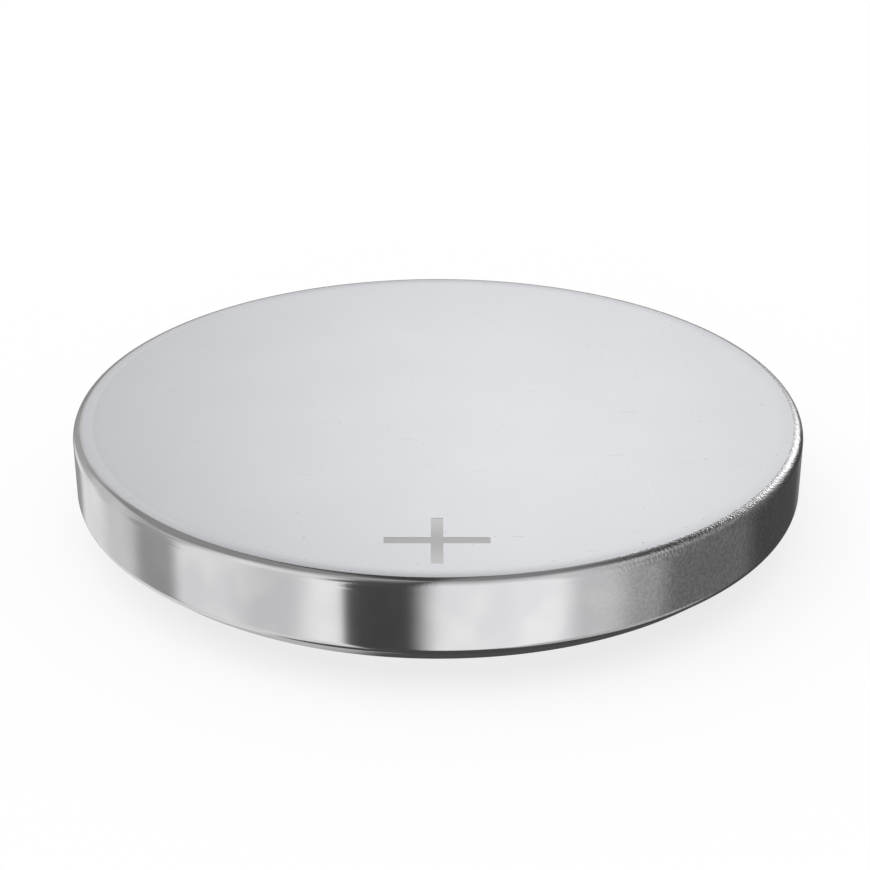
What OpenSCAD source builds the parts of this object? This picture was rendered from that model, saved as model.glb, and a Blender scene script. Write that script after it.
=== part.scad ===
// Lithium coin cell. A drawn can is rolled over a moulded gasket and the shoulder of a
// smaller cap, and holds a lithium disc, a separator and a pressed cathode pellet.
// The origin is the centre of the negative face, and +Z runs to the positive face.

/* [Cell] */
// Diameter across the wall of the can
cell_d = 20; // [16:0.1:25]
// Height from the negative face to the positive face
cell_h = 3.2; // [2.6:0.1:5.4]

/* [Can] */
// Thickness of the can's sheet
can_sheet = 0.22; // [0.15:0.01:0.3]
// Outside radius of the bend round the positive face
can_corner_r = 0.28; // [0.24:0.01:0.6]
// Angle from the wall to the coned part of the crimp
crimp_angle = 49; // [30:1:55]
// Height of the coned part of the crimp
crimp_drop = 0.5; // [0.35:0.01:0.6]
// Outside radius where the wall bends into the crimp
crimp_bend_r = 0.26; // [0.24:0.01:0.5]
// Slope of the rolled lip, from level
lip_slope = 25; // [15:1:35]
// Outside radius where the crimp bends into the lip
lip_bend_r = 0.3; // [0.24:0.01:0.45]
// Radius on the two corners of a cut sheet edge
sheet_edge_r = 0.04; // [0.02:0.01:0.06]

/* [Cap] */
// Thickness of the cap's sheet
cap_sheet = 0.25; // [0.18:0.01:0.3]
// How far the foot of the cap's wall lies inside the wall of the can
cap_inset = 1.6; // [1.5:0.05:2.4]
// How far the negative face stands proud of the lip
cap_proud = 0.55; // [0.4:0.01:0.75]
// Outside radius of the bend round the negative face
cap_corner_r = 0.5; // [0.35:0.05:0.6]
// Lean of the cap's wall, from upright
cap_draft = 6; // [2:1:10]
// Radius in the corner between the cap's wall and its shoulder
cap_waist_r = 0.12; // [0.05:0.01:0.16]
// Outside radius of the bends between the cap's shoulder and its skirt
cap_shoulder_r = 0.28; // [0.26:0.01:0.3]
// Gap between the cap's wall and the lip, which keeps the two poles apart
pole_gap = 0.44; // [0.42:0.01:0.6]

/* [Gasket] */
// Thickness of the gasket between the can and the cap
gasket_t = 0.3; // [0.2:0.01:0.36]
// Thickness of the gasket's foot, between the cap's skirt and the floor of the can
gasket_foot_t = 0.3; // [0.2:0.01:0.5]
// Thickness of the gasket's inner lip, which holds the cap's skirt from inside
gasket_lip_t = 0.28; // [0.2:0.01:0.4]
// Height of that inner lip above the floor of the can
gasket_lip_h = 0.75; // [0.6:0.05:0.85]
// Width of the gasket that shows past the end of the can's lip
gasket_show = 0.1; // [0.05:0.01:0.14]

/* [Electrodes] */
// Thickness of the lithium disc
anode_t = 0.6; // [0.3:0.05:0.65]
// Gap from the lithium disc to the bend of the cap
anode_clear = 0.05; // [0.05:0.01:0.3]
// Thickness of the separator
separator_t = 0.15; // [0.1:0.01:0.25]
// Gap from the separator to the wall of the cap
separator_clear = 0.05; // [0.05:0.01:0.2]
// How far the pellet's edge lies inside the separator's edge
pellet_inset = 0.1; // [0.05:0.01:0.3]
// Radius on the pellet's edge at the separator
pellet_edge_r = 0.12; // [0.05:0.01:0.2]
// Thickness of the steel ring that the pellet is pressed into
ring_sheet = 0.12; // [0.08:0.01:0.2]
// Height of that ring
ring_h = 0.9; // [0.5:0.05:1]
// Width of the ring's flange on the floor of the can
ring_flange_w = 0.9; // [0.5:0.05:2]
// Outside radius of the ring's bend
ring_bend_r = 0.22; // [0.21:0.01:0.4]

/* [Hidden] */
// Degrees of a bend that one straight step of its outline stands for
bend_step = 10;
$fn = 180;

// Points are [distance from the axis, height]

function across(u, v) = u[0] * v[1] - u[1] * v[0];
function left_of(u) = [-u[1], u[0]];
function heading(a, b) = (b - a) / norm(b - a);
function turned(p, angle) = [
    p[0] * cos(angle) - p[1] * sin(angle),
    p[0] * sin(angle) + p[1] * cos(angle)
];

// Signed angle of the turn that a path takes at b
function turn_at(a, b, c) =
    let (u = heading(a, b), v = heading(b, c))
    atan2(across(u, v), u * v);

// Where the line through p along u crosses the line through q along v
function crossing(p, u, q, v) = p + u * across(q - p, v) / across(u, v);

// Path that runs a distance d to the left of another
function beside(path, d) =
    let (
        last = len(path) - 1,
        runs = [for (i = [0:last - 1]) heading(path[i], path[i + 1])]
    )
    [for (i = [0:last])
        i == 0 ? path[i] + d * left_of(runs[i])
        : i == last ? path[i] + d * left_of(runs[i - 1])
        : crossing(
            path[i] + d * left_of(runs[i - 1]), runs[i - 1],
            path[i] + d * left_of(runs[i]), runs[i]
        )
    ];

// Bend radii of the path beside another one, which shrink on the inside of a bend
function radii_beside(path, radii, d) =
    let (last = len(path) - 1)
    [for (i = [0:last])
        i == 0 || i == last ? radii[i]
        : max(0, radii[i] - d * sign(turn_at(path[i - 1], path[i], path[i + 1])))
    ];

function backwards(list) = [for (i = [len(list) - 1:-1:0]) list[i]];

// Points of the arc of radius r that rounds the corner b of an outline
function corner(a, b, c, r) =
    let (turn = turn_at(a, b, c))
    r <= 0 || turn == 0 ? [b]
    : let (
        u = heading(a, b),
        start = b - u * r * tan(abs(turn) / 2),
        centre = start + left_of(u) * r * sign(turn),
        steps = ceil(abs(turn) / bend_step)
    )
    [for (k = [0:steps]) centre + turned(start - centre, turn * k / steps)];

// Closed outline whose corners are rounded by the radii beside them
function rounded(points, radii) =
    let (n = len(points))
    [for (i = [0:n - 1])
        each corner(points[(i + n - 1) % n], points[i], points[(i + 1) % n], radii[i])
    ];

// Outline of a bent sheet that lies to the left of a path by its thickness, or to the right
function sheet_outline(path, radii, thickness) =
    rounded(
        concat(path, backwards(beside(path, thickness))),
        concat(radii, backwards(radii_beside(path, radii, thickness)))
    );

// Derived sizes of the crimp, out from the cap
wall_r = cell_d / 2;
cap_face_r = wall_r - cap_inset;
lip_r = cap_face_r + cap_proud * tan(cap_draft) + pole_gap;
crimp_r = wall_r - crimp_drop * tan(crimp_angle);
crimp_z = cap_proud + (crimp_r - lip_r) * tan(lip_slope);
floor_z = cell_h - can_sheet;

// Outside of the can, from the axis out over the positive face, down and under
can_path = [
    [0, cell_h],
    [wall_r, cell_h],
    [wall_r, crimp_z + crimp_drop],
    [crimp_r, crimp_z],
    [lip_r, cap_proud]
];
can_radii = [0, can_corner_r, crimp_bend_r, lip_bend_r, sheet_edge_r];

// Inside of the can, and the line that the cap keeps beside it
can_inside = beside(can_path, -can_sheet);
can_inside_radii = radii_beside(can_path, can_radii, -can_sheet);
seal_line = beside(can_path, -can_sheet - gasket_t);
lip_heading = heading(can_path[3], can_path[4]);
skirt_top_z = floor_z - gasket_foot_t;

// Outside of the cap, from the axis out over the negative face and up to the skirt's edge
cap_path = [
    [0, 0],
    [cap_face_r, 0],
    crossing([cap_face_r, 0], [sin(cap_draft), cos(cap_draft)], seal_line[3], lip_heading),
    seal_line[3],
    seal_line[2],
    [seal_line[2][0], skirt_top_z]
];
cap_radii = [0, cap_corner_r, cap_waist_r, cap_shoulder_r, cap_shoulder_r, sheet_edge_r];

skirt_r = seal_line[2][0];
skirt_inside_r = skirt_r - cap_sheet;
gasket_inside_r = skirt_inside_r - gasket_lip_t;

// The stack on the cap's inner face
anode_r = cap_face_r - cap_corner_r - anode_clear;
separator_z = cap_sheet + anode_t;
separator_r = cap_face_r - cap_sheet - separator_clear;
pellet_z = separator_z + separator_t;
pellet_r = separator_r - pellet_inset;
ring_inside_r = pellet_r - ring_flange_w;

// Outside of the ring that holds the pellet, from its flange round to its wall
ring_path = [
    [ring_inside_r, floor_z],
    [pellet_r, floor_z],
    [pellet_r, floor_z - ring_h]
];
ring_radii = [0, ring_bend_r, 0];

// Drawn and crimped can, whose flat end is the positive face
module positive_can() {
    color("silver")
        rotate_extrude()
            polygon(sheet_outline(can_path, can_radii, -can_sheet));
}

// Moulded ring that seals and insulates the cap from the can, and holds the cap's skirt in a groove
module gasket() {
    points = [
        can_inside[4] + lip_heading * gasket_show,
        can_inside[3],
        can_inside[2],
        can_inside[1],
        [gasket_inside_r, floor_z],
        [gasket_inside_r, floor_z - gasket_lip_h],
        [skirt_inside_r, floor_z - gasket_lip_h],
        [skirt_inside_r, skirt_top_z],
        [skirt_r, skirt_top_z],
        seal_line[2],
        seal_line[3],
        seal_line[4] + lip_heading * gasket_show
    ];
    radii = [
        sheet_edge_r,
        can_inside_radii[3],
        can_inside_radii[2],
        can_inside_radii[1],
        0,
        sheet_edge_r,
        0,
        sheet_edge_r,
        sheet_edge_r,
        cap_shoulder_r,
        cap_shoulder_r,
        0
    ];
    color("dimgray")
        rotate_extrude()
            polygon(rounded(points, radii));
}

// Drawn cap, whose flat end is the negative face
module negative_cap() {
    color("lightgray")
        rotate_extrude()
            polygon(sheet_outline(cap_path, cap_radii, cap_sheet));
}

// Disc of lithium pressed onto the inner face of the cap
module lithium_anode() {
    color("gainsboro")
        translate([0, 0, cap_sheet])
            cylinder(r = anode_r, h = anode_t);
}

// Sheet of nonwoven fabric between the two electrodes
module separator() {
    color("white")
        translate([0, 0, separator_z])
            cylinder(r = separator_r, h = separator_t);
}

// Pressed pellet with a rebate for the ring that holds it
module cathode_pellet() {
    seat = beside(ring_path, -ring_sheet);
    points = [
        [0, pellet_z],
        [pellet_r, pellet_z],
        [pellet_r, floor_z - ring_h],
        seat[2],
        seat[1],
        seat[0],
        [ring_inside_r, floor_z],
        [0, floor_z]
    ];
    radii = [0, pellet_edge_r, 0, 0, radii_beside(ring_path, ring_radii, -ring_sheet)[1], 0, 0, 0];
    color("dimgray")
        rotate_extrude()
            polygon(rounded(points, radii));
}

// Steel ring round the foot of the pellet, which carries its current to the can
module cathode_ring() {
    color("silver")
        rotate_extrude()
            polygon(sheet_outline(ring_path, ring_radii, -ring_sheet));
}

positive_can();
gasket();
negative_cap();
lithium_anode();
separator();
cathode_pellet();
cathode_ring();
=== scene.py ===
"""Looks of a lithium coin cell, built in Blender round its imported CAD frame.

The drawn can, the crimp, the gasket and the stepped cap are spun from their section
outlines. Lengths are in millimetres until they meet Blender, which works in metres.
"""
from collections import namedtuple
from math import atan2, copysign, cos, pi, radians, sin, tan

import bmesh
import bpy
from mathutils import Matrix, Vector


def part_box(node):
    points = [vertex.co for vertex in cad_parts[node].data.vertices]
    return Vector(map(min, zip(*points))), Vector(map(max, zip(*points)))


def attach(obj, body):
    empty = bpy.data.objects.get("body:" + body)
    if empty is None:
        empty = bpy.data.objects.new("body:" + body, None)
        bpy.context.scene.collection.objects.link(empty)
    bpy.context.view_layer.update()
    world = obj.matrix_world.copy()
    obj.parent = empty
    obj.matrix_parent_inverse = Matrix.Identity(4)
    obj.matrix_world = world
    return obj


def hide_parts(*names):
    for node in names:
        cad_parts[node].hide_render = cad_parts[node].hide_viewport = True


MM = 0.001
MICRON = MM / 1000

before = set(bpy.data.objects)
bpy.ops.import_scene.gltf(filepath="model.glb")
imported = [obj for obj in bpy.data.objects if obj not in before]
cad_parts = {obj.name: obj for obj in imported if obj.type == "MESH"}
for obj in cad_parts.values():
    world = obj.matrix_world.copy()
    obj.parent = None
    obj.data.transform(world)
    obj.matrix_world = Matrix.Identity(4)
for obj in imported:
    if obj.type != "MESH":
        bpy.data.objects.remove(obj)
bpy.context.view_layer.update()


def highest_corner(node):
    """Highest corner of a CAD node, in millimetres."""
    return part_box(node)[1] / MM


# Sizes that the frame gives
CELL_H = highest_corner("positive_can").z
WALL_R = highest_corner("positive_can").x
FLOOR_OF_CAN_Z = highest_corner("gasket").z
SKIRT_TOP_Z = highest_corner("negative_cap").z
CAN_SHEET = CELL_H - FLOOR_OF_CAN_Z

# Sizes of the sheet metal and the seal, as in the part's source
CAN_CORNER_R = 0.28
CRIMP_ANGLE = radians(49)
CRIMP_DROP = 0.5
CRIMP_BEND_R = 0.26
LIP_SLOPE = radians(25)
LIP_BEND_R = 0.3
SHEET_EDGE_R = 0.04
CAP_SHEET = 0.25
CAP_INSET = 1.6
CAP_PROUD = 0.55
CAP_CORNER_R = 0.5
CAP_DRAFT = radians(6)
CAP_WAIST_R = 0.12
CAP_SHOULDER_R = 0.28
POLE_GAP = 0.44
GASKET_T = 0.3
GASKET_LIP_T = 0.28
GASKET_LIP_H = 0.75
GASKET_SHOW = 0.1

# Where the flat of the positive face rolls over to the slope that leads to the rounded edge,
# and the ring of points inside it that keeps the shading of the flat even
FACE_FLAT_R = 9.4
FACE_INNER_R = FACE_FLAT_R - 0.2
FACE_ROLL_R = 4.0
FACE_SLOPE = radians(0.5)
FACE_FALL = (WALL_R - FACE_FLAT_R) * tan(FACE_SLOPE)

# Distance from each bend to the ring of points that keeps the wall's shading straight
WALL_HOLD = 0.04

# Plus mark on the positive face
MARK_SPAN = (2.57, 2.3)
MARK_STROKE = 0.3
MARK_CENTRE = (-0.036, -7.93)
MARK_DEPTH = 0.008

# Steps round a full turn and round a bend, which keep the outlines smooth
TURN_STEPS = 288
BEND_SEGMENTS = 10

# Points closer than this are merged, and edges sharper than this shade crisply
MERGE_DISTANCE = 1e-5
CRISP_ANGLE = radians(40)

# A face belongs to a flat if its normal rises at least this much and it lies this near the top
UPRIGHT = 0.999
FLAT_DEPTH = 1e-4

# Places of the materials on the can and the cap
FACE_ZONE, WALL_ZONE, MARK_ZONE = range(3)

# Camera of the photograph, as fitted to the outline of the cell
CAMERA_LENS = 80
CAMERA_ELEVATION = radians(25.3)
CAMERA_DISTANCE = 54.0
CAMERA_TARGET = Vector((-0.085, 0.0, CELL_H - 0.953))
NEAREST_SEEN = 1
FARTHEST_SEEN = 10000

FLOOR_R = 3000
FLOOR_SIDES = 96

# Light on plain surfaces from all round and from above, and the studio's white in reflections
AMBIENT = 0.7
SUN_STRENGTH = 1.05
SUN_SPREAD = radians(70)
SUN_TILT = (radians(12), radians(-14), 0)
STUDIO_WHITE = 1.06

# Share of the floor that the camera sees as plain white, which keeps the shadow pale
FLOOR_WHITE = 0.75


def linear(hex_colour):
    """Linear colour of an sRGB hex string such as "d8d9dc"."""
    values = [int(hex_colour[i:i + 2], 16) / 255 for i in (0, 2, 4)]
    return [v / 12.92 if v <= 0.04045 else ((v + 0.055) / 1.055) ** 2.4 for v in values] + [1.0]


def add(tree, kind, inputs=(), **settings):
    """Adds a node with its settings, and links or sets its inputs by name or number."""
    node = tree.nodes.new(kind)
    for name, value in settings.items():
        setattr(node, name, value)
    for name, value in dict(inputs).items():
        if isinstance(value, bpy.types.NodeSocket):
            tree.links.new(value, node.inputs[name])
        else:
            node.inputs[name].default_value = value
    return node


def maths(tree, operation, *values):
    """Result of one sum on numbers or sockets."""
    return add(tree, "ShaderNodeMath", dict(enumerate(values)), operation=operation).outputs[0]


def ramp(tree, value, low, high, to_low=0.0, to_high=1.0):
    """Smooth step of a value between two limits."""
    inputs = {"Value": value, "From Min": low, "From Max": high, "To Min": to_low, "To Max": to_high}
    return add(tree, "ShaderNodeMapRange", inputs, interpolation_type="SMOOTHSTEP").outputs["Result"]


def across(u, v):
    """Cross product of two flat vectors."""
    return u.x * v.y - u.y * v.x


def left_of(u):
    """Flat vector after a quarter turn to the left."""
    return Vector((-u.y, u.x))


def turn_at(before, corner, after):
    """Signed angle of the turn that a path takes at a corner."""
    u = (corner - before).normalized()
    v = (after - corner).normalized()
    return atan2(across(u, v), u.dot(v))


def crossing(p, u, q, v):
    """Where the line through p along u crosses the line through q along v."""
    return p + u * (across(q - p, v) / across(u, v))


def beside(path, distance):
    """Path that runs a distance to the left of another."""
    runs = [(b - a).normalized() for a, b in zip(path, path[1:])]
    shifted = [p + left_of(u) * distance for p, u in zip(path, runs)]
    inner = [crossing(shifted[i], runs[i], shifted[i + 1], runs[i + 1]) for i in range(len(runs) - 1)]
    return [shifted[0], *inner, path[-1] + left_of(runs[-1]) * distance]


def radii_beside(path, radii, distance):
    """Bend radii of the path beside another one, which shrink on the inside of a bend."""
    turns = [turn_at(*corners) for corners in zip(path, path[1:], path[2:])]
    bends = [max(0, radius - distance * copysign(1, turn)) for radius, turn in zip(radii[1:-1], turns)]
    return [radii[0], *bends, radii[-1]]


def can_path():
    """Outside of the can: over the positive face, down the wall, and under to the end of the lip."""
    cap_face_r = WALL_R - CAP_INSET
    lip_r = cap_face_r + CAP_PROUD * tan(CAP_DRAFT) + POLE_GAP
    crimp_r = WALL_R - CRIMP_DROP * tan(CRIMP_ANGLE)
    crimp_z = CAP_PROUD + (crimp_r - lip_r) * tan(LIP_SLOPE)
    return [
        Vector((0, CELL_H)),
        Vector((WALL_R, CELL_H)),
        Vector((WALL_R, crimp_z + CRIMP_DROP)),
        Vector((crimp_r, crimp_z)),
        Vector((lip_r, CAP_PROUD)),
    ]


# Corners of the can's path after its start on the axis, which the lines beside it share
EDGE, WALL_END, CRIMP_END, LIP_END = range(1, 5)

CAN_PATH = can_path()
CAN_RADII = [0, CAN_CORNER_R, CRIMP_BEND_R, LIP_BEND_R, SHEET_EDGE_R]
CAN_INSIDE = beside(CAN_PATH, -CAN_SHEET)
CAN_INSIDE_RADII = radii_beside(CAN_PATH, CAN_RADII, -CAN_SHEET)
SEAL_LINE = beside(CAN_PATH, -CAN_SHEET - GASKET_T)
LIP_HEADING = (CAN_PATH[LIP_END] - CAN_PATH[CRIMP_END]).normalized()


def new_piece(name, mesh, materials, slot, *stands_for):
    """Adds a finished bmesh as an object at the origin, which rides on the part for its CAD nodes."""
    data = bpy.data.meshes.new(name)
    bmesh.ops.scale(mesh, vec=(MM, MM, MM), verts=mesh.verts)
    mesh.to_mesh(data)
    mesh.free()
    for material in materials:
        data.materials.append(material)
    piece = bpy.data.objects.new(name, data)
    bpy.context.scene.collection.objects.link(piece)
    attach(piece, "root")
    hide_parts(*stands_for)


def section(points, radii, closed):
    """Wire outline of a section in the XZ plane, with its corners rounded by the radii beside them."""
    mesh = bmesh.new()
    verts = [mesh.verts.new((p[0], 0, p[1])) for p in points]
    for a, b in zip(verts, verts[1:]):
        mesh.edges.new((a, b))
    if closed:
        mesh.edges.new((verts[-1], verts[0]))
    for i, (vert, radius) in enumerate(zip(verts, radii)):
        if radius > 0:
            turn = abs(turn_at(points[i - 1], points[i], points[(i + 1) % len(points)]))
            bmesh.ops.bevel(
                mesh, geom=[vert], offset=radius * tan(turn / 2), offset_type="OFFSET",
                segments=BEND_SEGMENTS, profile=0.5, affect="VERTICES", material=-1,
            )
    return mesh


def spin_round(mesh):
    """Spins a wire section into a closed shape round the cell's axis, with its faces pointing out."""
    bmesh.ops.spin(
        mesh, geom=mesh.verts[:] + mesh.edges[:], cent=(0, 0, 0), axis=(0, 0, 1),
        angle=2 * pi, steps=TURN_STEPS, use_merge=True,
    )
    bmesh.ops.remove_doubles(mesh, verts=mesh.verts, dist=MERGE_DISTANCE)
    bmesh.ops.dissolve_degenerate(mesh, edges=mesh.edges, dist=MERGE_DISTANCE)
    bmesh.ops.recalc_face_normals(mesh, faces=mesh.faces)
    for face in mesh.faces:
        face.smooth = True


def sharpen(mesh):
    """Marks the edges where faces meet at a wide angle, so that they shade crisply."""
    for edge in mesh.edges:
        edge.smooth = edge.is_manifold and edge.calc_face_angle(0) < CRISP_ANGLE


def sink_mark(mesh):
    """Cuts the plus mark into the flat of the positive face, with walls and a floor."""
    upward = [face for face in mesh.faces if face.normal.z > UPRIGHT]
    centres = [(face, face.calc_center_median()) for face in upward]
    flat = [face for face, centre in centres
            if centre.z > CELL_H - FLAT_DEPTH and centre.xy.length < FACE_INNER_R]
    bmesh.ops.delete(mesh, geom=flat, context="FACES")
    ring = [edge for edge in mesh.edges if edge.is_boundary]
    half_w, half_h = MARK_SPAN[0] / 2, MARK_SPAN[1] / 2
    arm = MARK_STROKE / 2
    plus = [
        (half_w, -arm), (half_w, arm), (arm, arm), (arm, half_h), (-arm, half_h), (-arm, arm),
        (-half_w, arm), (-half_w, -arm), (-arm, -arm), (-arm, -half_h), (arm, -half_h), (arm, -arm),
    ]
    verts = [mesh.verts.new((MARK_CENTRE[0] + x, MARK_CENTRE[1] + y, CELL_H)) for x, y in plus]
    outline = [mesh.edges.new((a, b)) for a, b in zip(verts, verts[1:] + verts[:1])]
    filled = bmesh.ops.triangle_fill(mesh, use_beauty=True, edges=ring + outline, normal=(0, 0, 1))
    for face in [part for part in filled["geom"] if isinstance(part, bmesh.types.BMFace)]:
        face.smooth = True
    walls = bmesh.ops.extrude_edge_only(mesh, edges=outline)
    sunk = [part for part in walls["geom"] if isinstance(part, bmesh.types.BMVert)]
    bmesh.ops.translate(mesh, vec=(0, 0, -MARK_DEPTH), verts=sunk)
    floor = mesh.faces.new(sunk)
    floor.material_index = MARK_ZONE
    bmesh.ops.recalc_face_normals(mesh, faces=mesh.faces)


def build_can(satin, drawn):
    """Drawn can: satin face with the plus mark sunk in it, rounded edge, bright wall, crimp and lip."""
    outside = CAN_PATH[:1] + [
        Vector((FACE_INNER_R, CELL_H)),
        Vector((FACE_FLAT_R, CELL_H)),
        Vector((WALL_R, CELL_H - FACE_FALL)),
        Vector((WALL_R, CELL_H - FACE_FALL - CAN_CORNER_R - WALL_HOLD)),
        Vector((WALL_R, CAN_PATH[WALL_END].y + CRIMP_BEND_R * tan(CRIMP_ANGLE / 2) + WALL_HOLD)),
    ] + CAN_PATH[WALL_END:]
    radii = [0, 0, FACE_ROLL_R, CAN_CORNER_R, 0, 0] + CAN_RADII[WALL_END:]
    mesh = section(outside + CAN_INSIDE[::-1], radii + CAN_INSIDE_RADII[::-1], closed=False)
    spin_round(mesh)
    for face in mesh.faces:
        centre = face.calc_center_median()
        on_face = centre.z > CELL_H - CAN_SHEET / 2 and centre.xy.length < WALL_R - CAN_CORNER_R
        face.material_index = FACE_ZONE if on_face else WALL_ZONE
    sink_mark(mesh)
    sharpen(mesh)
    zones = [satin, drawn, coined_mark()]
    new_piece("can", mesh, zones, "can_steel", "positive_can")


def build_cap(satin, drawn):
    """Drawn cap: flat face, wall, shoulder under the lip, and the skirt that the gasket holds."""
    face_r = WALL_R - CAP_INSET
    foot = Vector((face_r, 0))
    lean = Vector((sin(CAP_DRAFT), cos(CAP_DRAFT)))
    path = [
        Vector((0, 0)),
        foot,
        crossing(foot, lean, SEAL_LINE[CRIMP_END], LIP_HEADING),
        SEAL_LINE[CRIMP_END],
        SEAL_LINE[WALL_END],
        Vector((SEAL_LINE[WALL_END].x, SKIRT_TOP_Z)),
    ]
    radii = [0, CAP_CORNER_R, CAP_WAIST_R, CAP_SHOULDER_R, CAP_SHOULDER_R, SHEET_EDGE_R]
    inside = beside(path, CAP_SHEET)
    inside_radii = radii_beside(path, radii, CAP_SHEET)
    mesh = section(path + inside[::-1], radii + inside_radii[::-1], closed=False)
    spin_round(mesh)
    for face in mesh.faces:
        flat = face.normal.z < -UPRIGHT and face.calc_center_median().z < CAP_SHEET / 2
        face.material_index = FACE_ZONE if flat else WALL_ZONE
    sharpen(mesh)
    new_piece("cap", mesh, [satin, drawn], "cap_steel", "negative_cap")


def build_gasket():
    """Moulded gasket between the can and the cap, with the groove that holds the cap's skirt."""
    skirt_r = SEAL_LINE[WALL_END].x
    skirt_inside_r = skirt_r - CAP_SHEET
    inside_r = skirt_inside_r - GASKET_LIP_T
    points = [
        CAN_INSIDE[LIP_END] + LIP_HEADING * GASKET_SHOW,
        CAN_INSIDE[CRIMP_END],
        CAN_INSIDE[WALL_END],
        CAN_INSIDE[EDGE],
        Vector((inside_r, FLOOR_OF_CAN_Z)),
        Vector((inside_r, FLOOR_OF_CAN_Z - GASKET_LIP_H)),
        Vector((skirt_inside_r, FLOOR_OF_CAN_Z - GASKET_LIP_H)),
        Vector((skirt_inside_r, SKIRT_TOP_Z)),
        Vector((skirt_r, SKIRT_TOP_Z)),
        SEAL_LINE[WALL_END],
        SEAL_LINE[CRIMP_END],
        SEAL_LINE[LIP_END] + LIP_HEADING * GASKET_SHOW,
    ]
    radii = [
        *reversed(CAN_INSIDE_RADII[EDGE:]),
        0, SHEET_EDGE_R, 0, SHEET_EDGE_R, SHEET_EDGE_R, CAP_SHOULDER_R, CAP_SHOULDER_R, 0,
    ]
    mesh = section(points, radii, closed=True)
    spin_round(mesh)
    sharpen(mesh)
    new_piece("seal", mesh, [moulded_polypropylene()], "gasket_plastic", "gasket")


# Sizes of the patterns on the finishes, in millimetres
SATIN_GRAIN = 0.045
SATIN_CLOUD = 3.0
SPECK_SIZE = 0.11
SCUFF_SIZE = 0.16
DRAWN_GRAIN = 0.09
OPENED_GRAIN = 0.06
DRAWN_CLOUD = 1.3
PLASTIC_GRAIN = 0.15
LITHIUM_BLOOM = 1.6
POWDER_GRAIN = 0.07

# Streaks to a millimetre, lengthwise and crosswise
RUBS_PER_MM = (1.2, 34)
LITHIUM_LINES_PER_MM = (0.4, 9)
FIBRES_PER_MM = (1, 14)
STRIP_LINES_PER_MM = (0.6, 22)

# Where the painted highlight, a pale ring on the left of the face, fades in, across the cell and out from
# the axis
PAINTED_RING_FADE_X = (-4.0, -7.0)
PAINTED_RING_FADE_R = (FACE_FLAT_R + 0.02, FACE_FLAT_R + 0.1)

# Line of the scuffs along that ring, and the distances from it over which they fade in
SCUFF_R = FACE_FLAT_R + 0.08
SCUFF_FADE = (0.16, 0.02)

# Where the right of the can grows worn, and the share of that wear on the rest of it
WORN_SIDE_X = (3.0, 6.5)
WORN_ELSEWHERE = 0.03

# Heights between which the sheet grows stretched towards the bend round the face
STRETCHED_Z = (CELL_H - 0.36, CELL_H - 0.2)


def new_material(name):
    """Material with its tree, its Principled shader and the Object coordinates in millimetres."""
    material = bpy.data.materials.new(name)
    material.use_nodes = True
    tree = material.node_tree
    shader = tree.nodes["Principled BSDF"]
    coords = add(tree, "ShaderNodeTexCoord")
    place = add(tree, "ShaderNodeMapping", {"Vector": coords.outputs["Object"], "Scale": (1 / MM,) * 3})
    return material, tree, shader, place.outputs["Vector"]


def blend(tree, factor, colour_a, colour_b):
    """Mix of two colours by a factor."""
    inputs = {"Factor": factor, "A": colour_a, "B": colour_b}
    return add(tree, "ShaderNodeMix", inputs, data_type="RGBA").outputs["Result"]


def grain(tree, place, size, detail=2.0, roughness=0.5):
    """Noise whose lumps are about a size in millimetres across, with most values from 0.3 to 0.7."""
    inputs = {"Vector": place, "Scale": 1 / size, "Detail": detail, "Roughness": roughness}
    return add(tree, "ShaderNodeTexNoise", inputs).outputs["Fac"]


def streaks(tree, place, lengthwise, crosswise, turn=0.0, detail=2.0):
    """Noise drawn out along X, with so many streaks to a millimetre lengthwise and crosswise."""
    inputs = {"Vector": place, "Rotation": (0, 0, turn), "Scale": (lengthwise, crosswise, 1)}
    return grain(tree, add(tree, "ShaderNodeMapping", inputs).outputs["Vector"], 1.0, detail)


def axis_of(tree, vector, axis):
    """One axis of a vector."""
    return add(tree, "ShaderNodeSeparateXYZ", {"Vector": vector}).outputs[axis]


def relief(tree, height, microns, normal=None):
    """Bump of a height map that runs over so many thousandths of a millimetre."""
    inputs = {"Height": height, "Distance": microns * MICRON, "Strength": 1.0}
    if normal:
        inputs["Normal"] = normal
    return add(tree, "ShaderNodeBump", inputs).outputs["Normal"]


def worn_side(tree, place):
    """Share of the coarse grain: all of it on the right of the can, and nearly none on the rest."""
    return ramp(tree, axis_of(tree, place, "X"), *WORN_SIDE_X, WORN_ELSEWHERE, 1.0)


def from_axis(tree, place):
    """Distance of a point from the cell's axis, in millimetres."""
    level = add(tree, "ShaderNodeVectorMath", {0: place, 1: (1, 1, 0)}, operation="MULTIPLY")
    length = add(tree, "ShaderNodeVectorMath", {0: level.outputs["Vector"]}, operation="LENGTH")
    return length.outputs["Value"]


def painted_ring_and_scuffs(tree, place, plain):
    """Colour of the face with a painted highlight, a pale ring near its edge on the left side only, and
    real scuffs along that line.
    """
    radius = from_axis(tree, place)
    on_left = ramp(tree, axis_of(tree, place, "X"), *PAINTED_RING_FADE_X)
    # painted highlight: the face is paler in a ring near its edge, on its left side only
    on_painted_ring = maths(tree, "MULTIPLY", ramp(tree, radius, *PAINTED_RING_FADE_R), on_left)
    painted_ring_colour = blend(tree, on_painted_ring, plain, linear("ecedf1"))
    from_scuffs = maths(tree, "ABSOLUTE", maths(tree, "SUBTRACT", radius, SCUFF_R))
    near_scuffs = ramp(tree, from_scuffs, *SCUFF_FADE)
    scuffs = ramp(tree, grain(tree, place, SCUFF_SIZE, detail=3.0, roughness=0.7), 0.36, 0.27)
    return blend(tree, maths(tree, "MULTIPLY", scuffs, near_scuffs), painted_ring_colour, linear("b9babd"))


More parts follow.
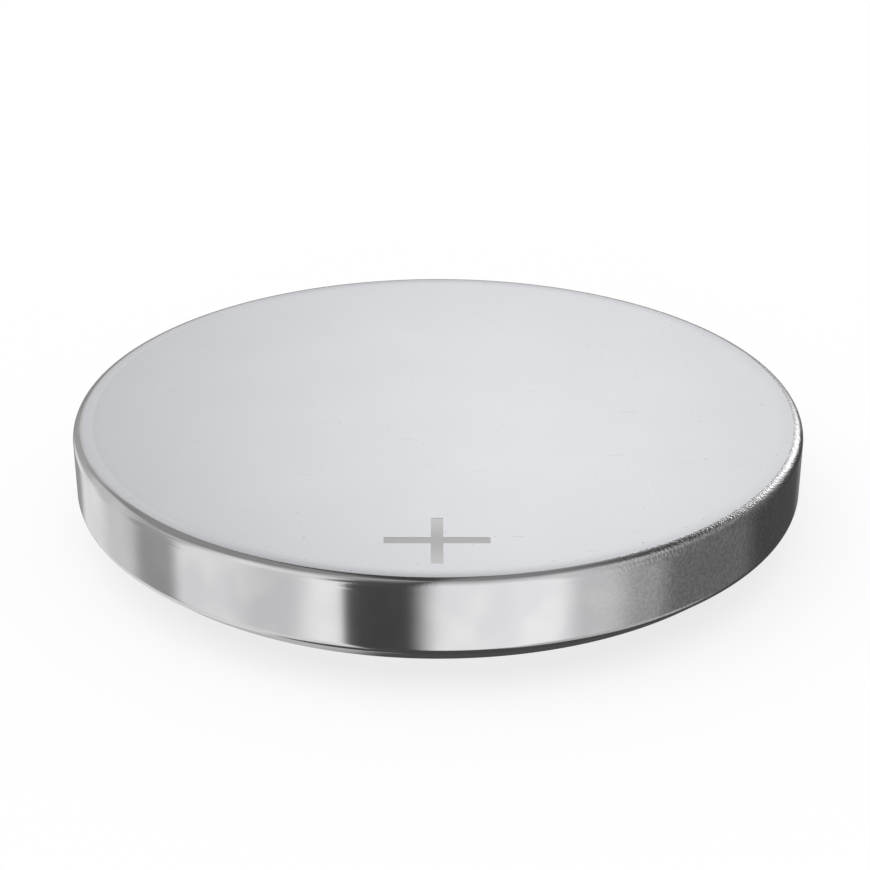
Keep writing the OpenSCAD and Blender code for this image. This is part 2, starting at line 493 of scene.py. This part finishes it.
def satin_nickel():
    """Nickel-plated steel strip as rolled: an even satin, with a few specks and faint rubs.

    The real grain is too fine to show, so it is drawn as coarse as a pixel or two.
    """
    material, tree, shader, place = new_material("satin_nickel_plate")
    fine = grain(tree, place, SATIN_GRAIN)
    cloud = grain(tree, place, SATIN_CLOUD)
    tone = maths(tree, "ADD", maths(tree, "MULTIPLY", fine, 0.75), maths(tree, "MULTIPLY", cloud, 0.25))
    plain = blend(tree, ramp(tree, tone, 0.3, 0.7), linear("dfe0e4"), linear("e7e8ec"))
    # painted highlight: a pale ring near the face's edge on the left, with real scuffs along it
    painted_ring_and_scuffs_colour = painted_ring_and_scuffs(tree, place, plain)
    rubs = streaks(tree, place, *RUBS_PER_MM, turn=0.2, detail=0.0)
    rubbed = blend(tree, ramp(tree, rubs, 0.2, 0.12), painted_ring_and_scuffs_colour, linear("ccccd0"))
    specks = grain(tree, place, SPECK_SIZE, detail=0.0)
    speckled = blend(tree, ramp(tree, specks, 0.165, 0.12), rubbed, linear("c2c3c6"))
    tree.links.new(speckled, shader.inputs["Base Color"])
    shader.inputs["Metallic"].default_value = 1.0
    tree.links.new(ramp(tree, fine, 0.3, 0.7, 0.262, 0.272), shader.inputs["Roughness"])
    tree.links.new(relief(tree, fine, microns=0.06), shader.inputs["Normal"])
    return material


def drawn_nickel():
    """Nickel-plated steel burnished by the drawing die: nearly a mirror, with soft clouds.

    Its right side has a visible grain. Round the positive face the sheet is stretched, and there
    that grain opens up and sparkles. Both are drawn two or three pixels wide, because the real
    grain is too fine to show.
    """
    material, tree, shader, place = new_material("drawn_nickel_wall")
    ramped_share = worn_side(tree, place)
    stretched = ramp(tree, axis_of(tree, place, "Z"), *STRETCHED_Z)
    coarse = grain(tree, place, DRAWN_GRAIN, detail=4.0, roughness=0.75)
    on_bend = maths(tree, "MULTIPLY", ramped_share, stretched)
    opened = maths(tree, "MULTIPLY", grain(tree, place, OPENED_GRAIN, detail=1.0), on_bend)
    pitted = maths(tree, "MULTIPLY", ramp(tree, coarse, 0.36, 0.64), ramped_share)
    cloud = ramp(tree, grain(tree, place, DRAWN_CLOUD, detail=1.0), 0.36, 0.64)
    clouds = blend(tree, cloud, linear("dededf"), linear("d5d5d7"))
    tree.links.new(blend(tree, pitted, clouds, linear("b8b8ba")), shader.inputs["Base Color"])
    shader.inputs["Metallic"].default_value = 1.0
    shader.inputs["Roughness"].default_value = 0.11
    faint = relief(tree, maths(tree, "MULTIPLY", coarse, ramped_share), microns=1.8)
    tree.links.new(relief(tree, opened, microns=13.0, normal=faint), shader.inputs["Normal"])
    return material


def coined_mark():
    """Floor of the plus mark, pressed flat by the die: smoother and darker than the satin round it."""
    material, tree, shader, place = new_material("coined_nickel_mark")
    offset = maths(tree, "ABSOLUTE", maths(tree, "SUBTRACT", axis_of(tree, place, "Y"), MARK_CENTRE[1]))
    # tone graded along the mark: darker through the middle of the plus, lighter towards the top and bottom
    # ends of its upright stroke
    ramped_share = ramp(tree, offset, 0.0, MARK_SPAN[1] / 2)
    tree.links.new(blend(tree, ramped_share, linear("bfbfbf"), linear("d4d4d4")), shader.inputs["Base Color"])
    shader.inputs["Metallic"].default_value = 1.0
    shader.inputs["Roughness"].default_value = 0.3
    return material


def moulded_polypropylene():
    """Moulded polypropylene: soft, waxy and matte."""
    material, tree, shader, place = new_material("moulded_polypropylene")
    fine = grain(tree, place, PLASTIC_GRAIN)
    shader.inputs["Base Color"].default_value = linear("2b2d31")
    shader.inputs["Roughness"].default_value = 0.55
    tree.links.new(relief(tree, fine, microns=1.5), shader.inputs["Normal"])
    return material


def rolled_lithium():
    """Lithium foil as rolled and pressed: soft and silvery, with a dull bloom and faint rolling lines."""
    material, tree, shader, place = new_material("rolled_lithium")
    lines = streaks(tree, place, *LITHIUM_LINES_PER_MM)
    bloom = grain(tree, place, LITHIUM_BLOOM, detail=4.0)
    silver = blend(tree, ramp(tree, bloom, 0.35, 0.65), linear("b4b5b9"), linear("d2d3d6"))
    tree.links.new(silver, shader.inputs["Base Color"])
    shader.inputs["Metallic"].default_value = 1.0
    tree.links.new(ramp(tree, bloom, 0.35, 0.65, 0.6, 0.42), shader.inputs["Roughness"])
    tree.links.new(relief(tree, lines, microns=4.0), shader.inputs["Normal"])
    return material


def nonwoven_polypropylene():
    """Nonwoven polypropylene felt: white, matte and fibrous, with fibres that cross each other."""
    material, tree, shader, place = new_material("nonwoven_polypropylene")
    one_way = streaks(tree, place, *FIBRES_PER_MM, turn=0.6)
    other_way = streaks(tree, place, *FIBRES_PER_MM, turn=-0.9)
    fibres = maths(tree, "MAXIMUM", one_way, other_way)
    white = blend(tree, ramp(tree, fibres, 0.45, 0.7), linear("dededa"), linear("f4f4f0"))
    tree.links.new(white, shader.inputs["Base Color"])
    shader.inputs["Roughness"].default_value = 0.85
    tree.links.new(relief(tree, fibres, microns=20.0), shader.inputs["Normal"])
    return material


def pressed_cathode_mix():
    """Manganese dioxide and carbon powder pressed into a pellet: dull black and finely granular."""
    material, tree, shader, place = new_material("pressed_cathode_mix")
    powder = grain(tree, place, POWDER_GRAIN, detail=4.0, roughness=0.7)
    black = blend(tree, ramp(tree, powder, 0.35, 0.65), linear("1c1c1e"), linear("343436"))
    tree.links.new(black, shader.inputs["Base Color"])
    shader.inputs["Roughness"].default_value = 0.9
    tree.links.new(relief(tree, powder, microns=8.0), shader.inputs["Normal"])
    return material


def stamped_stainless():
    """Stainless strip stamped into a ring: a cool grey satin with faint rolling lines."""
    material, tree, shader, place = new_material("stamped_stainless_steel")
    lines = streaks(tree, place, *STRIP_LINES_PER_MM)
    grey = blend(tree, ramp(tree, lines, 0.3, 0.7), linear("b2b4b7"), linear("c4c6c9"))
    tree.links.new(grey, shader.inputs["Base Color"])
    shader.inputs["Metallic"].default_value = 1.0
    tree.links.new(ramp(tree, lines, 0.3, 0.7, 0.26, 0.34), shader.inputs["Roughness"])
    tree.links.new(relief(tree, lines, microns=0.8), shader.inputs["Normal"])
    return material


def finish_inner_nodes():
    """Gives each sealed inner piece, which keeps its CAD shape, the finish of its own material."""
    finishes = {
        "lithium_anode": rolled_lithium,
        "separator": nonwoven_polypropylene,
        "cathode_pellet": pressed_cathode_mix,
        "cathode_ring": stamped_stainless,
    }
    for node, finish in finishes.items():
        material = finish()
        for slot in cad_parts[node].material_slots:
            slot.material = material


# Cards and flags of the studio that the polished steel mirrors. Each has its left and right
# edge in degrees round from the front towards the right, its lowest and highest elevation, its
# brightness, and the degrees over which its sides, then its top and bottom, fade. Later cards
# stand in front of earlier ones.
Card = namedtuple("Card", "name left right low high brightness side_fade end_fade")
STUDIO_CARDS = (
    ("wall behind", 130, 230, 0, 60, 0.86, 20, 16),
    ("bright wall behind", 171, 190, 20, 60, 1.32, 14, 8),
    ("wall behind on the left", -174, -95, -60, 75, 0.7, 18, 20),
    ("low wall behind", 140, 220, -40, 16, 0.32, 30, 16),
    ("grey wall on the right", 62, 130, -60, 60, 0.5, 14, 30),
    ("low wall far to the left", -126, -108, -60, 50, 0.7, 8, 30),
    ("pale wall far to the left", -150, -127, -60, -6, 0.88, 10, 12),
    ("dim strip far behind on the left", -158, -140, 0, 40, 0.44, 6, 16),
    ("grey card on the left", -106, -86, -60, 4, 0.38, 9, 24),
    ("pale card above the grey card", -100, -72, 0, 40, 0.68, 12, 20),
    ("upper part of the grey card", -107, -89, -14, 26, 0.4, 8, 30),
    ("grey card high on the left", -116, -101, 22, 44, 0.45, 10, 10),
    ("shade beside the grey card", -84, -60, -60, 40, 0.92, 6, 50),
    ("shade between the windows", -62, -40, -60, 40, 0.76, 12, 50),
    ("window at the front right", 22, 37, -60, 60, 1.12, 7, 30),
    ("low wall on the right", 40, 158, -60, 50, 0.73, 8, 30),
    ("darker wall on the right", 57, 158, -60, 40, 0.44, 10, 30),
    ("dark corner on the right", 72, 156, -60, 30, 0.2, 9, 30),
    ("black corner behind on the right", 112, 158, -60, 6, 0.085, 14, 24),
    ("dark ceiling at the front", -180, 180, 62, 90, 0.5, 0, 56),
    ("dim wall high on the left", -130, -66, 54, 90, 0.55, 20, 30),
    ("dark ceiling behind", 96, 264, 34.5, 90, 0.3, 34, 7),
    ("dark ceiling behind on the left", -158, -124, 35, 90, 0.32, 18, 12),
    ("black ceiling behind on the right", 104, 160, 41, 64, 0.1, 24, 8),
    ("softbox behind on the right", 141, 160, 7, 35, 2.15, 18, 10),
    ("black flag at the front", -28, -13, -60, 90, 0.07, 2.4, 10),
    ("black flag higher up", -38, -10, 30, 90, 0.09, 10, 24),
    ("black flag near the ceiling", -60, -10, 64, 90, 0.2, 16, 16),
    ("black flag overhead", -180, 14, 74, 90, 0.06, 0, 8),
    ("black flag behind", 178, 189, 36, 90, 0.06, 5, 10),
    ("black flag behind, higher up", 182, 199, 62, 90, 0.06, 8, 10),
    ("soft side of the black flag", -18, -3.8, -60, 90, 0.07, 11, 10),
    ("dark table below", -180, 180, -90, -52, 0.08, 0, 12),
    ("pale table on the left", -172.5, -32, -66, -38, 0.85, 3, 8),
    ("grey table behind on the left", -172.5, -155, -60, -34, 0.5, 3, 6),
    ("pale table on the right", 28, 98, -60, -36, 0.6, 10, 8),
    ("dark table behind", 156, 187.5, -80, -28, 0.08, 5, 12),
)

# Real lights stand near the cell, so their reflections stay upright on its wall. Those of far
# cards lean, and these degrees, for a card at the side, set them upright again: over the
# elevations that the wall mirrors, then over those that the rounded edge mirrors lower down.
WALL_ELEVATIONS = (-28.4, -26.0)
WALL_LEAN = 3.8
EDGE_ELEVATIONS = (-26.0, -4.0)
EDGE_LEAN = 5.2


def studio_angles(tree):
    """Angle of a direction round from the front, with its lean corrected, and its elevation."""
    direction = add(tree, "ShaderNodeTexCoord")
    part = add(tree, "ShaderNodeSeparateXYZ", {"Vector": direction.outputs["Generated"]}).outputs
    front = maths(tree, "MULTIPLY", part["Y"], -1.0)
    round_angle = maths(tree, "ARCTAN2", part["X"], front)
    elevation = maths(tree, "DEGREES", maths(tree, "ARCSINE", part["Z"]))
    on_wall = ramp(tree, elevation, *WALL_ELEVATIONS, -WALL_LEAN / 2, WALL_LEAN / 2)
    on_edge = ramp(tree, elevation, *EDGE_ELEVATIONS, 0.0, EDGE_LEAN)
    from_front = maths(tree, "SUBTRACT", 1.0, maths(tree, "COSINE", round_angle))
    upright = maths(tree, "ADD", on_wall, maths(tree, "MULTIPLY", on_edge, from_front))
    lean = maths(tree, "MULTIPLY", upright, maths(tree, "SINE", round_angle))
    return maths(tree, "ADD", maths(tree, "DEGREES", round_angle), lean), elevation


def card_cover(tree, card, round_angle, elevation):
    """Share of a direction that a card covers, which fades at its edges."""
    aside = maths(tree, "SUBTRACT", round_angle, (card.left + card.right) / 2)
    aside = maths(tree, "ABSOLUTE", maths(tree, "WRAP", aside, 180.0, -180.0))
    half = (card.right - card.left) / 2
    side, end = card.side_fade / 2, card.end_fade / 2
    within = ramp(tree, aside, half + side, half - side) if half < 180 else 1.0
    above = ramp(tree, elevation, card.low - end, card.low + end) if card.low > -90 else 1.0
    below = ramp(tree, elevation, card.high + end, card.high - end) if card.high < 90 else 1.0
    return maths(tree, "MULTIPLY", within, maths(tree, "MULTIPLY", above, below))


def studio_world():
    """World: white to the eye, and to reflections the same white with its cards and flags."""
    world = bpy.data.worlds.new("studio")
    bpy.context.scene.world = world
    world.use_nodes = True
    tree = world.node_tree
    background = tree.nodes["Background"]
    round_angle, elevation = studio_angles(tree)
    seen = STUDIO_WHITE
    for values in STUDIO_CARDS:
        card = Card(*values)
        cover = card_cover(tree, card, round_angle, elevation)
        mix = add(tree, "ShaderNodeMix", {"Factor": cover, "A": seen, "B": card.brightness})
        mix.label = card.name
        seen = mix.outputs["Result"]
    ray = add(tree, "ShaderNodeLightPath")
    reflected = add(tree, "ShaderNodeMix", {"Factor": ray.outputs["Is Glossy Ray"], "A": 1.0, "B": seen})
    shown = maths(tree, "MAXIMUM", ray.outputs["Is Camera Ray"], ray.outputs["Is Glossy Ray"])
    shown = maths(tree, "MAXIMUM", shown, ray.outputs["Is Transmission Ray"])
    light = add(tree, "ShaderNodeMix", {"Factor": shown, "A": AMBIENT, "B": reflected.outputs["Result"]})
    tree.links.new(light.outputs["Result"], background.inputs["Strength"])
    background.inputs["Color"].default_value = (1, 1, 1, 1)


def overhead_sun():
    """Wide soft light from above, which gives the cell its shadow on the floor."""
    lamp = bpy.data.lights.new("overhead", "SUN")
    lamp.energy = SUN_STRENGTH
    lamp.angle = SUN_SPREAD
    lamp_object = bpy.data.objects.new("overhead", lamp)
    lamp_object.rotation_euler = SUN_TILT
    lamp_object.visible_glossy = False
    bpy.context.scene.collection.objects.link(lamp_object)


def pale_floor():
    """Round white table top, level with the negative face."""
    mesh = bmesh.new()
    bmesh.ops.create_circle(mesh, cap_ends=True, segments=FLOOR_SIDES, radius=FLOOR_R * MM)
    data = bpy.data.meshes.new("floor")
    mesh.to_mesh(data)
    mesh.free()
    floor = bpy.data.objects.new("floor", data)
    bpy.context.scene.collection.objects.link(floor)
    material = bpy.data.materials.new("white_table")
    material.use_nodes = True
    tree = material.node_tree
    tree.nodes.remove(tree.nodes["Principled BSDF"])
    diffuse = add(tree, "ShaderNodeBsdfDiffuse", {"Color": linear("fdfdfd")})
    white = add(tree, "ShaderNodeEmission", {"Strength": 1.0})
    ray = add(tree, "ShaderNodeLightPath")
    share = maths(tree, "MULTIPLY", ray.outputs["Is Camera Ray"], FLOOR_WHITE)
    surface = add(tree, "ShaderNodeMixShader", {0: share, 1: diffuse.outputs[0], 2: white.outputs[0]})
    tree.links.new(surface.outputs[0], tree.nodes["Material Output"].inputs["Surface"])
    data.materials.append(material)
    floor.visible_glossy = False


def photograph_camera():
    """Camera at the photograph's place, aimed a little below the positive face."""
    lens = bpy.data.cameras.new("camera")
    lens.lens = CAMERA_LENS
    lens.clip_start = NEAREST_SEEN * MM
    lens.clip_end = FARTHEST_SEEN * MM
    camera = bpy.data.objects.new("camera", lens)
    back = Vector((0, -cos(CAMERA_ELEVATION), sin(CAMERA_ELEVATION)))
    camera.location = (CAMERA_TARGET + back * CAMERA_DISTANCE) * MM
    camera.rotation_euler = (pi / 2 - CAMERA_ELEVATION, 0, 0)
    bpy.context.scene.collection.objects.link(camera)
    bpy.context.scene.camera = camera


bpy.context.scene.view_settings.view_transform = "Standard"
photograph_camera()
studio_world()
overhead_sun()
pale_floor()
satin_finish = satin_nickel()
drawn_finish = drawn_nickel()
build_can(satin_finish, drawn_finish)
build_cap(satin_finish, drawn_finish)
build_gasket()
finish_inner_nodes()
